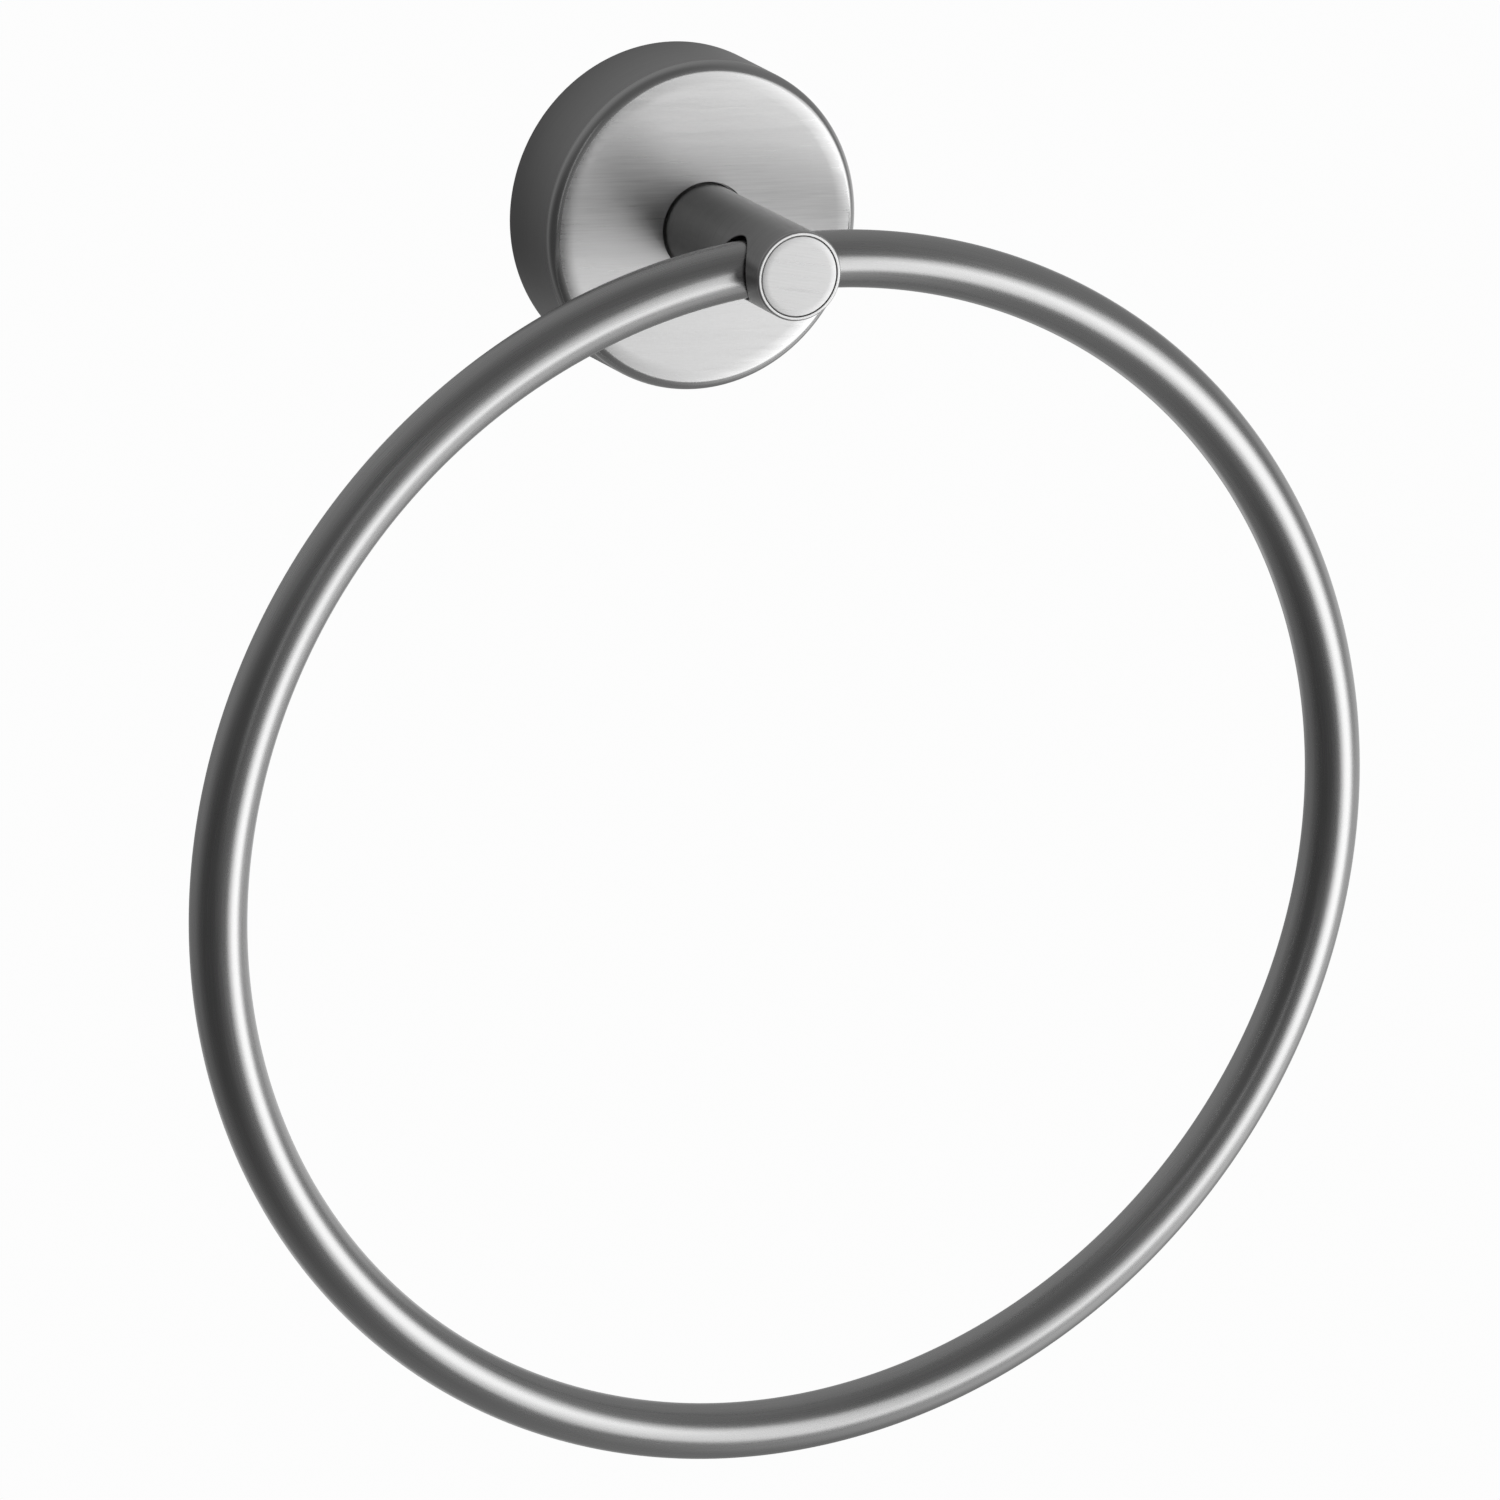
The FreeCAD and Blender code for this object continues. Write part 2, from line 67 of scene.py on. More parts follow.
# Each soft box's direction, as its azimuth from -Y towards +X and its elevation, its distance
# from the aim, its width and height, and the radiance of its face
SOFT_BOXES = (
    ("key", 38, -10.5, 1.0, 0.93, 0.97, 0.72),
    ("key_centre", 40, -13.5, 1.001, 0.50, 0.62, 0.76),
    ("strip", -27, 15, 1.2, 0.13, 0.85, 0.31),
)
# What else the steel reflects: the direction's azimuth and elevation, the angles from it within
# which a region is full and beyond which it is gone, and its change of the room's grey
SURROUNDINGS = (
    ("dark room on the left", -61, -14, 12, 88, -0.145),
    ("dark corner behind on the left", -158, -26, 8, 46, -0.05),
    ("pale wall behind", 180, 20, 0, 110, 0.065),
    ("dark ceiling in front", -3, 57, 5, 60, -0.08),
    ("floor in the key's light", 66, -37, 0, 42, 0.46),
    ("pale wall on the right", 106, -9, 2, 30, 0.34),
    ("floor behind", -178, -38, 0, 30, 0.40),
    ("bright wall across the room", 139, -14, 0, 31, 0.5),
    ("pale floor by the right wall", 100, -40, 0, 30, 0.2),
)
# Shade on the wall round the rosette: how dark it is, and the distances from its centre within
# which it is full and beyond which it is gone. Its flat strip starts a gap away from the cover and
# lies a depth behind the wall plane.
WALL_SHADE_DARKNESS = 0.6
WALL_SHADE_CENTRE = (-7.5 * MM, 0, -3.5 * MM)
WALL_SHADE_FULL = 20.7 * MM
WALL_SHADE_GONE = 39.7 * MM
WALL_SHADE_GAP = 0.1 * MM
WALL_SHADE_DEPTH = 0.3 * MM
WALL_SHADE_STEPS = 96

# Brushing: how much slower the strokes change along than across, how deep they are, how far they
# fall to the right on the two faces that are brushed straight across, and the radii between which
# the painted highlight on the rim of the cover's face sets in: a lighter tone, with less roughness
STROKE_STRETCH = 0.04
RING_STROKE_STRETCH = 0.03
STROKE_DEPTH = 0.004 * MM
COVER_STROKE_TURN = math.radians(6)
CAP_STROKE_TURN = math.radians(15)
# Radii of the painted highlight on the cover face's rim, where its tone is raised and it is less rough
COVER_RIM_HIGHLIGHT_START = 20.8 * MM
COVER_RIM_HIGHLIGHT_END = 23.2 * MM

# Fineness of the meshes. Turns are measured out in the UV at the grain radius, and corners whose
# places agree to the weld are one point.
RING_STEPS_ALONG = 384
RING_STEPS_ROUND = 64
TURNED_STEPS = 256
TURNED_STEP = 2 * math.pi / TURNED_STEPS
ARC_STEPS = 10
EDGE_BREAK_STEPS = 4
HOLE_RINGS = 10
HOLE_SIDE_STEPS = 24
BORE_STEPS = 4
GRAIN_RADIUS = 20.0 * MM
WELD = 1e-7

# Post, cap and cover: what their boxes in the frame do not give. A crown's turn is in degrees.
POST_LIP_WALL = 0.575 * MM
POST_LIP_ROUNDING = 0.31 * MM
POST_LIP_BREAK = 0.07 * MM
POST_BACK_CHAMFER = 0.4 * MM
RING_BORE_RADIUS = 4.4 * MM
RING_BORE_SETBACK = 8.5 * MM
RING_BORE_WINDOW = 6.6 * MM
RING_BORE_EDGE_BREAK = 0.15 * MM
CAP_EDGE_BREAK = 0.18 * MM
CAP_CROWN_TURN = 5.0
CAP_CROWN_WIDTH = 0.9 * MM
COVER_DRAFT = 0.2 * MM
COVER_WALL = 1.2 * MM
COVER_ROUNDING = 1.7 * MM
COVER_CROWN_TURN = 8.0
COVER_CROWN_WIDTH = 2.0 * MM
COVER_POST_GAP = 0.35 * MM
KEY_HOLE_RADIUS = 2.5 * MM
KEY_HOLE_REACH = 3.6 * MM
KEY_HOLE_EDGE_BREAK = 0.15 * MM
KEY_HOLE_WINDOW_DEPTH = 8.0 * MM
KEY_HOLE_WINDOW_STEPS = 12

# Fixings: a face turn under the flat one is no edge, and one over the sharp one is broken
FIXING_WELD = 2e-6
FIXING_FLAT_TURN = math.radians(0.05)
FIXING_SHARP_TURN = math.radians(25.0)
FIXING_EDGE_BREAK = 0.12 * MM
FIXING_EDGE_STEPS = 2


def add_to_scene(name, data):
    thing = bpy.data.objects.new(name, data)
    bpy.context.scene.collection.objects.link(thing)
    return thing


class Corner:
    """A point of a surface with its true normal, and its UV: U across the brushing, V along it."""

    def __init__(self, place, normal, uv):
        self.place = Vector(place)
        self.normal = Vector(normal).normalized()
        self.uv = uv


def loops(grid):
    """The four corners of each face of a grid."""
    for row, next_row in zip(grid, grid[1:]):
        for column in range(len(row) - 1):
            yield row[column], row[column + 1], next_row[column + 1], next_row[column]


def piece_from_patches(name, patches):
    """Joins grids of corners into one closed smooth mesh. A patch is (grid, material). Where a
    grid shrinks to a point, a face has three corners or is left out."""
    points = []
    known = {}
    faces = []
    face_corners = []
    face_materials = []
    for grid, material in patches:
        for loop in loops(grid):
            face = []
            corners = []
            for corner in loop:
                key = tuple(round(value / WELD) for value in corner.place)
                if key not in known:
                    known[key] = len(points)
                    points.append(corner.place)
                if known[key] not in face:
                    face.append(known[key])
                    corners.append(corner)
            if len(face) < 3:
                continue
            first, second, third = (corners[index].place for index in (0, 1, -1))
            outward = corners[0].normal + corners[1].normal
            if (second - first).cross(third - first).dot(outward) < 0:
                face.reverse()
                corners.reverse()
            faces.append(face)
            face_corners.append(corners)
            face_materials.append(material)
    mesh = bpy.data.meshes.new(name)
    mesh.from_pydata(points, [], faces)
    materials = list(dict.fromkeys(face_materials))
    for material in materials:
        mesh.materials.append(material)
    layer = mesh.uv_layers.new(name="grain")
    for polygon, corners, material in zip(mesh.polygons, face_corners, face_materials):
        polygon.use_smooth = True
        polygon.material_index = materials.index(material)
        for loop, corner in zip(polygon.loop_indices, corners):
            layer.data[loop].uv = corner.uv
    mesh.normals_split_custom_set([corner.normal for corners in face_corners for corner in corners])
    return add_to_scene(name, mesh)


def straight(start, end):
    """Profile run from start to end, each a (reach, radius) pair, with its outward normal."""
    along = (end[0] - start[0], end[1] - start[1])
    length = math.hypot(*along)
    normal = (-along[1] / length, along[0] / length)
    return [(start, normal), (end, normal)]


def rounded(centre, radius, start_turn, end_turn, steps=ARC_STEPS):
    """Profile arc about centre. A turn of 0 faces away from the axis, and 90 degrees the front."""
    run = []
    for step in range(steps + 1):
        turn = math.radians(start_turn + (end_turn - start_turn) * step / steps)
        normal = (math.sin(turn), math.cos(turn))
        run.append(((centre[0] + radius * normal[0], centre[1] + radius * normal[1]), normal))
    return run


def turned(run, first_step=0, last_step=TURNED_STEPS, stroke_turn=None):
    """Turns a profile run about the Y axis, from one step to another of TURNED_STEPS. A face that
    is brushed straight across has strokes that fall to the right by stroke_turn."""
    grid = []
    for (reach, radius), (front, out) in run:
        row = []
        for step in range(first_step, last_step + 1):
            angle = step * TURNED_STEP
            across, up = math.sin(angle), math.cos(angle)
            place = (radius * across, -reach, radius * up)
            if stroke_turn is None:
                uv = (reach + radius, angle * GRAIN_RADIUS)
            else:
                turn = angle - stroke_turn
                uv = (radius * math.cos(turn), radius * math.sin(turn))
            row.append(Corner(place, (out * across, -front, out * up), uv))
        grid.append(row)
    return grid


class Crown:
    """A face's edge: the face falls off gently in a rise, then turns down the flank in a bend."""

    def __init__(self, front, radius, bend_radius, turn_degrees, width):
        turn = math.radians(turn_degrees)
        rise_radius = width / math.sin(turn)
        drop = rise_radius * (1 - math.cos(turn))
        self.bend_reach = front - drop - bend_radius * math.cos(turn)
        self.start = radius - bend_radius * (1 - math.sin(turn)) - width
        self.bend = rounded((self.bend_reach, radius - bend_radius), bend_radius, 0, 90 - turn_degrees)
        self.rise = rounded((front - rise_radius, self.start), rise_radius, 90 - turn_degrees, 90)


class Hole:
    """A round hole through the flank of a turned piece, drilled square to the Y axis. It lies in
    a window of the flank from reach low to reach high, half_steps to each side of the hole. Out
    points through the hole, and side across it.

    A wall gives the flank's radius at a reach. Facing_out is 1 on the wall's outside and -1 on
    its inside, and the reference is one radius for the whole flank."""

    def __init__(self, out, side, radius, reach, low, high, half_steps, edge_break):
        self.out = Vector(out)
        self.side = Vector(side)
        self.radius = radius
        self.reach = reach
        self.edge_break = edge_break
        half = half_steps * TURNED_STEP
        border = [(-half + step * TURNED_STEP, high) for step in range(2 * half_steps)]
        border += [(half, high + (low - high) * step / HOLE_SIDE_STEPS) for step in range(HOLE_SIDE_STEPS)]
        border += [(half - step * TURNED_STEP, low) for step in range(2 * half_steps)]
        border += [(-half, low + (high - low) * step / HOLE_SIDE_STEPS) for step in range(HOLE_SIDE_STEPS)]
        self.border = border + border[:1]

    def turns(self, reference):
        """The turn about the hole at which each point of the border lies."""
        return [math.atan2(angle * reference, reach - self.reach) for angle, reach in self.border]

    def inward(self, turn):
        """The bore's normal at a turn."""
        return Vector((0, math.cos(turn), 0)) - self.side * math.sin(turn)

    def surface(self, angle, reach, wall, facing_out):
        """A corner of the flank, at an angle about the Y axis from the hole."""
        radial = math.cos(angle) * self.out + math.sin(angle) * self.side
        place = radial * wall(reach) + Vector((0, -reach, 0))
        return Corner(place, radial * facing_out, (reach + GRAIN_RADIUS, angle * GRAIN_RADIUS))

    def rim_place(self, turn, wall, facing_out, bend):
        """A point of the broken edge: a bend of 0 is in the bore, and 90 degrees on the flank."""
        radius = self.radius + self.edge_break * (1 - math.cos(bend))
        reach = self.reach + radius * math.cos(turn)
        sideways = radius * math.sin(turn)
        height = math.sqrt(wall(reach) ** 2 - sideways**2)
        height -= facing_out * self.edge_break * (1 - math.sin(bend))
        return self.out * height + self.side * sideways + Vector((0, -reach, 0))

    def flank(self, wall, facing_out, reference):
        """The flank from the hole's edge out to the border of its window."""
        grid = []
        edge_radius = self.radius + self.edge_break
        for step in range(HOLE_RINGS + 1):
            share = step / HOLE_RINGS
            row = []
            for turn, (angle, reach) in zip(self.turns(reference), self.border):
                edge_reach = self.reach + edge_radius * math.cos(turn)
                edge_angle = math.asin(edge_radius * math.sin(turn) / wall(edge_reach))
                row.append(self.surface(
                    edge_angle + (angle - edge_angle) * share,
                    edge_reach + (reach - edge_reach) * share,
                    wall,
                    facing_out,
                ))
            grid.append(row)
        return grid

    def rim(self, wall, facing_out, reference):
        """The broken edge between the bore, in its first row, and the flank."""
        grid = []
        for step in range(EDGE_BREAK_STEPS + 1):
            share = step / EDGE_BREAK_STEPS
            bend = share * math.pi / 2
            row = []
            for turn in self.turns(reference):
                place = self.rim_place(turn, wall, facing_out, bend)
                radial = Vector((place.x, 0, place.z)).normalized() * facing_out
                normal = self.inward(turn) * math.cos(bend) + radial * math.sin(bend)
                row.append(Corner(place, normal, (share * self.edge_break, turn * self.radius)))
            grid.append(row)
        return grid

    def bore(self, start_row, end_row, reference):
        """The bore's wall between two rows of corners."""
        grid = []
        for step in range(BORE_STEPS + 1):
            share = step / BORE_STEPS
            row = []
            for turn, start, end in zip(self.turns(reference), start_row, end_row):
                depth = (end.place - start.place).length * share
                place = start.place.lerp(end.place, share)
                row.append(Corner(place, self.inward(turn), (depth, turn * self.radius)))
            grid.append(row)
        return grid


# Nodes
def new_tree(name, kind, inputs, outputs):
    """A node group. An input is (label, socket type, default or None), an output (label, type)."""
    tree = bpy.data.node_groups.new(name, kind)
    for label, socket_type, value in inputs:
        socket = tree.interface.new_socket(label, in_out="INPUT", socket_type=socket_type)
        if value is not None:
            socket.default_value = value
    for label, socket_type in outputs:
        tree.interface.new_socket(label, in_out="OUTPUT", socket_type=socket_type)
    return tree


def socket_id(tree, label):
    """The identifier of a tree's input."""
    for item in tree.interface.items_tree:
        if item.item_type == "SOCKET" and item.in_out == "INPUT" and item.name == label:
            return item.identifier
    raise ValueError("no input " + label)


def feed(tree, sockets, values):
    """Sets each socket to its value, or links it where the value is another node's output."""
    for socket, value in zip(sockets, values):
        if isinstance(value, bpy.types.NodeSocket):
            tree.links.new(value, socket)
        else:
            socket.default_value = value


def math_node(tree, operation, *values):
    """A Math node's result."""
    node = tree.nodes.new("ShaderNodeMath")
    node.operation = operation
    feed(tree, node.inputs, values)
    return node.outputs["Value"]


def vector_node(tree, operation, *values):
    """A Vector Math node's outputs: its Vector, or its Value where the result is a number."""
    node = tree.nodes.new("ShaderNodeVectorMath")
    node.operation = operation
    feed(tree, node.inputs, values)
    return node.outputs


def off_axis(tree, place):
    """How far a place is from the Y axis."""
    flat = vector_node(tree, "MULTIPLY", place, (1, 0, 1))["Vector"]
    return vector_node(tree, "LENGTH", flat)["Value"]


def mapped(tree, place, label, value):
    """The place, turned by a Rotation or stretched by a Scale."""
    node = tree.nodes.new("ShaderNodeMapping")
    node.inputs[label].default_value = value
    tree.links.new(place, node.inputs["Vector"])
    return node.outputs["Vector"]


def slope(tree, kind, value, start, end, before, after):
    """The number before, up to the start of a range of the value, and after, past its end."""
    node = tree.nodes.new("ShaderNodeMapRange")
    node.interpolation_type = kind
    sockets = [node.inputs[label] for label in ("Value", "From Min", "From Max", "To Min", "To Max")]
    feed(tree, sockets, (value, start, end, before, after))
    return node.outputs["Result"]


def noise(tree, place, scale, detail, roughness=0.5):
    """A Noise Texture's value, less its mean, so that it is about -0.5 to 0.5."""
    node = tree.nodes.new("ShaderNodeTexNoise")
    sockets = [node.inputs[label] for label in ("Vector", "Scale", "Detail", "Roughness")]
    feed(tree, sockets, (place, scale, detail, roughness))
    return math_node(tree, "SUBTRACT", node.outputs["Fac"], 0.5)


def mix_to_output(tree, output_kind, share, first, second):
    """Ends a tree in a mix of two shaders. A share of 0 is all the first, and 1 all the second."""
    mix = tree.nodes.new("ShaderNodeMixShader")
    feed(tree, mix.inputs, (share, first, second))
    result = tree.nodes.new(output_kind)
    tree.links.new(mix.outputs["Shader"], result.inputs["Surface"])


def empty_material(name):
    material = bpy.data.materials.new(name)
    material.use_nodes = True
    material.node_tree.nodes.clear()
    return material


# Ring, swept by Geometry Nodes
ring_low, ring_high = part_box("ring")
ring_rod_radius = (ring_high.y - ring_low.y) / 2
ring_outer_radius = (ring_high.z - ring_low.z) / 2
ring_centreline_radius = ring_outer_radius - ring_rod_radius
ring_centre = (ring_low + ring_high) / 2
ring_centre.x = 0.0
RING_INPUTS = (
    ("Centreline Radius", "NodeSocketFloat", ring_centreline_radius),
    ("Rod Radius", "NodeSocketFloat", ring_rod_radius),
    ("Centre", "NodeSocketVector", tuple(ring_centre)),
    ("Steps Along", "NodeSocketInt", RING_STEPS_ALONG),
    ("Steps Round", "NodeSocketInt", RING_STEPS_ROUND),
)


def build_ring_tree(material):
    tree = new_tree(
        "bent rod ring",
        "GeometryNodeTree",
        [("Geometry", "NodeSocketGeometry", None), *RING_INPUTS],
        [("Geometry", "NodeSocketGeometry")],
    )
    nodes = tree.nodes
    link = tree.links.new
    sizes = nodes.new("NodeGroupInput")
    centreline = nodes.new("GeometryNodeCurvePrimitiveCircle")
    stand_up = nodes.new("GeometryNodeTransform")
    stand_up.inputs["Rotation"].default_value = (math.radians(90), 0, 0)
    rod = nodes.new("GeometryNodeCurvePrimitiveCircle")
    sweep = nodes.new("GeometryNodeCurveToMesh")
    smooth = nodes.new("GeometryNodeSetShadeSmooth")
    finish = nodes.new("GeometryNodeSetMaterial")
    finish.inputs["Material"].default_value = material
    realize = nodes.new("GeometryNodeRealizeInstances")
    result = nodes.new("NodeGroupOutput")
    link(sizes.outputs["Centreline Radius"], centreline.inputs["Radius"])
    link(sizes.outputs["Steps Along"], centreline.inputs["Resolution"])
    link(centreline.outputs["Curve"], stand_up.inputs["Geometry"])
    link(sizes.outputs["Centre"], stand_up.inputs["Translation"])
    link(sizes.outputs["Rod Radius"], rod.inputs["Radius"])
    link(sizes.outputs["Steps Round"], rod.inputs["Resolution"])
    link(stand_up.outputs["Geometry"], sweep.inputs["Curve"])
    link(rod.outputs["Curve"], sweep.inputs["Profile Curve"])
    link(sweep.outputs["Mesh"], smooth.inputs["Geometry"])
    link(smooth.outputs["Geometry"], realize.inputs["Geometry"])
    link(realize.outputs["Geometry"], finish.inputs["Geometry"])
    link(finish.outputs["Geometry"], result.inputs["Geometry"])
    return tree


def made_by_nodes(name, tree, inputs):
    """Runs a Geometry Nodes tree and keeps its result as a plain mesh."""
    seed = add_to_scene(name + "_seed", bpy.data.meshes.new(name + "_seed"))
    modifier = seed.modifiers.new("nodes", "NODES")
    modifier.node_group = tree
    for label, _, value in inputs:
        modifier[socket_id(tree, label)] = value
    bpy.context.view_layer.update()
    depsgraph = bpy.context.evaluated_depsgraph_get()
    mesh = bpy.data.meshes.new_from_object(seed.evaluated_get(depsgraph))
    mesh.name = name
    seed.modifiers.remove(modifier)
    bpy.data.objects.remove(seed)
    return add_to_scene(name, mesh)


def lay_ring_uv(mesh):
    """UV in metres: U runs round the rod, V along it. It carries the grain's direction. A face
    that crosses a seam, where half a turn or more seems to lie between its corners, gets a whole
    turn more on its low side."""
    layer = mesh.uv_layers.new(name="grain")
    full_along = 2 * math.pi * ring_centreline_radius
    full_round = 2 * math.pi * ring_rod_radius
    for polygon in mesh.polygons:
        places = []
        for vertex in polygon.vertices:
            offset = mesh.vertices[vertex].co - ring_centre
            out = math.hypot(offset.x, offset.z) - ring_centreline_radius
            along = math.atan2(offset.x, offset.z) / (2 * math.pi)
            turn = math.atan2(offset.y, out) / (2 * math.pi)
            places.append([turn, along])
        for axis, full in ((0, full_round), (1, full_along)):
            high = max(place[axis] for place in places)
            for place in places:
                if high - place[axis] > 0.5:
                    place[axis] += 1
                place[axis] *= full
        for loop, place in zip(polygon.loop_indices, places):
            layer.data[loop].uv = place


# Steel finishes
def grain_group():
    """Brushed strokes, uneven patches, and a painted highlight: a rim of lighter tone, which is also
    less rough. Strokes are noise that is stretched along them, and the rim sets in between two
    radii about the Y axis, which by default lie outside every piece."""
    tree = new_tree(
        "brushed grain",
        "ShaderNodeTree",
        [
            ("Place", "NodeSocketVector", None),
            ("Stroke Place", "NodeSocketVector", None),
            ("Fine Scale", "NodeSocketFloat", 4000.0),
            ("Broad Scale", "NodeSocketFloat", 1300.0),
            ("Patch Scale", "NodeSocketFloat", 90.0),
            ("Tone", "NodeSocketFloat", None),
            ("Stroke Tone", "NodeSocketFloat", None),
            ("Patch Tone", "NodeSocketFloat", 0.04),
            ("Roughness", "NodeSocketFloat", None),
            ("Stroke Roughness", "NodeSocketFloat", None),
            ("Patch Roughness", "NodeSocketFloat", 0.04),
            ("Rim Start", "NodeSocketFloat", 1.0),
            ("Rim End", "NodeSocketFloat", 2.0),
            ("Rim Tone", "NodeSocketFloat", 0.0),
            ("Rim Roughness", "NodeSocketFloat", 0.0),
        ],
        [("Color", "NodeSocketColor"), ("Roughness", "NodeSocketFloat"), ("Height", "NodeSocketFloat")],
    )
    given = tree.nodes.new("NodeGroupInput").outputs
    fine = noise(tree, given["Stroke Place"], given["Fine Scale"], detail=2.0)
    broad = noise(tree, given["Stroke Place"], given["Broad Scale"], detail=3.0, roughness=0.6)
    strokes = math_node(tree, "ADD", fine, broad)
    patch = noise(tree, given["Place"], given["Patch Scale"], detail=4.0)
    distance = off_axis(tree, given["Place"])
    # The rim: a painted highlight of lighter tone, which is also less rough
    rim = slope(tree, "SMOOTHSTEP", distance, given["Rim Start"], given["Rim End"], 0.0, 1.0)
    tone, rough = given["Tone"], given["Roughness"]
    for effect, label in ((strokes, "Stroke"), (patch, "Patch"), (rim, "Rim")):
        tone = math_node(tree, "MULTIPLY_ADD", effect, given[label + " Tone"], tone)
        rough = math_node(tree, "MULTIPLY_ADD", effect, given[label + " Roughness"], rough)
    color = tree.nodes.new("ShaderNodeCombineColor")
    feed(tree, color.inputs, (tone, tone, tone))
    result = tree.nodes.new("NodeGroupOutput")
    feed(tree, result.inputs, (color.outputs["Color"], rough, strokes))
    return tree


def stroke_place(tree, place, along, turn):
    """The point at which the strokes' noise is read. It hardly changes along a stroke."""
    if along == "across the face":
        level = mapped(tree, place, "Rotation", (0, -turn, 0))
        return mapped(tree, level, "Scale", (STROKE_STRETCH, STROKE_STRETCH, 1))
    if along == "round the post":
        return mapped(tree, place, "Scale", (STROKE_STRETCH, 1, STROKE_STRETCH))
    # Along the rod: the distances from the ring's axis and across it change only round the rod.
    centred = vector_node(tree, "SUBTRACT", place, tuple(ring_centre))["Vector"]
    parts = tree.nodes.new("ShaderNodeSeparateXYZ")
    section = tree.nodes.new("ShaderNodeCombineXYZ")
    feed(tree, parts.inputs, (centred,))
    feed(tree, section.inputs, (off_axis(tree, centred), parts.outputs["Y"]))
    stretch = (RING_STROKE_STRETCH, RING_STROKE_STRETCH, RING_STROKE_STRETCH)
    return vector_node(tree, "MULTIPLY_ADD", centred, stretch, section.outputs["Vector"])["Vector"]


def steel(name, along, tone=0.6, rough=0.3, anisotropy=0.5, bump=0.1, strokes=0.1, turn=0.0, grain=None):
    """Satin steel whose strokes run along the rod, across the face or round the post. Its
    reflections spread most across the strokes. Grain gives the brushed grain's other inputs."""
    material = empty_material(name)
    tree = material.node_tree
    nodes = tree.nodes
    link = tree.links.new
    shader = nodes.new("ShaderNodeBsdfPrincipled")
    shader.inputs["Metallic"].default_value = 1.0
    shader.inputs["Anisotropic"].default_value = anisotropy
    if anisotropy:
        tangent = nodes.new("ShaderNodeTangent")
        tangent.direction_type = "UV_MAP"
        tangent.uv_map = "grain"
        link(tangent.outputs["Tangent"], shader.inputs["Tangent"])
    place = nodes.new("ShaderNodeTexCoord").outputs["Object"]
    brushing = nodes.new("ShaderNodeGroup")
    brushing.node_tree = brushed_grain
    given = {
        "Place": place,
        "Stroke Place": stroke_place(tree, place, along, turn),
        "Tone": tone,
        "Stroke Tone": strokes,
        "Roughness": rough,
        "Stroke Roughness": strokes,
        **(grain or {}),
    }
    feed(tree, [brushing.inputs[label] for label in given], given.values())
    relief = nodes.new("ShaderNodeBump")
    relief.inputs["Strength"].default_value = bump
    relief.inputs["Distance"].default_value = STROKE_DEPTH
    surface = nodes.new("ShaderNodeOutputMaterial")
    link(brushing.outputs["Color"], shader.inputs["Base Color"])
    link(brushing.outputs["Roughness"], shader.inputs["Roughness"])
    link(brushing.outputs["Height"], relief.inputs["Height"])
    link(relief.outputs["Normal"], shader.inputs["Normal"])
    link(shader.outputs["BSDF"], surface.inputs["Surface"])
    return material


brushed_grain = grain_group()
ring_steel = steel("ring_steel", "along the rod", rough=0.27, anisotropy=0.1, bump=0.02, strokes=0.08)
post_steel = steel("post_steel", "round the post", rough=0.33)
bore_steel = steel("bore_steel", "across the face", tone=0.4, rough=0.4)
cap_steel = steel(
    "cap_steel",
    "across the face",
    tone=0.66,
    rough=0.31,
    anisotropy=0.6,
    strokes=0.22,
    turn=CAP_STROKE_TURN,
)
lip_steel = steel(
    "post_lip_steel",
    "round the post",
    tone=0.75,
    rough=0.32,
    anisotropy=0.0,
    bump=0.03,
    strokes=0.03,
)
face_steel = steel(
    "cover_face_steel",
    "across the face",
    tone=0.72,
    rough=0.33,
    anisotropy=0.75,
    strokes=0.2,
    turn=COVER_STROKE_TURN,
    grain={
        "Broad Scale": 900.0,
        # The face's rim is a painted highlight: Rim Tone lightens it, and Rim Roughness makes it less
        # rough
        "Rim Start": COVER_RIM_HIGHLIGHT_START,
        "Rim End": COVER_RIM_HIGHLIGHT_END,
        "Rim Tone": 0.16,
        "Rim Roughness": -0.08,
    },
)
edge_steel = steel(
    "cover_edge_steel",
    "round the post",
    tone=0.66,
    rough=0.2,
    anisotropy=0.2,
    bump=0.03,
    strokes=0.03,
)
flank_steel = steel(
    "cover_flank_steel",
    "round the post",
    rough=0.36,
    anisotropy=0.7,
    bump=0.05,
    strokes=0.05,
)
inner_steel = steel("cover_inner_steel", "round the post", tone=0.45, rough=0.45)
zinc_steel = steel("zinc_steel", "round the post", tone=0.5, rough=0.42, anisotropy=0.0)
screw_steel = steel("screw_steel", "round the post", tone=0.42, rough=0.38, anisotropy=0.0)


# Post, cap and cover
post_low, post_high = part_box("post")
post_radius = post_high.x
post_back_reach = -post_high.y
post_front_reach = -post_low.y
bore_reach = post_front_reach - RING_BORE_SETBACK
cap_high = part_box("post_cap")[1]
cap_radius = cap_high.x
cap_back_reach = -cap_high.y
counterbore_radius = post_radius - POST_LIP_WALL
cover_low, cover_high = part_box("rosette_cover")
cover_back_radius = cover_high.x
cover_front_radius = cover_back_radius - COVER_DRAFT
cover_depth = -cover_low.y


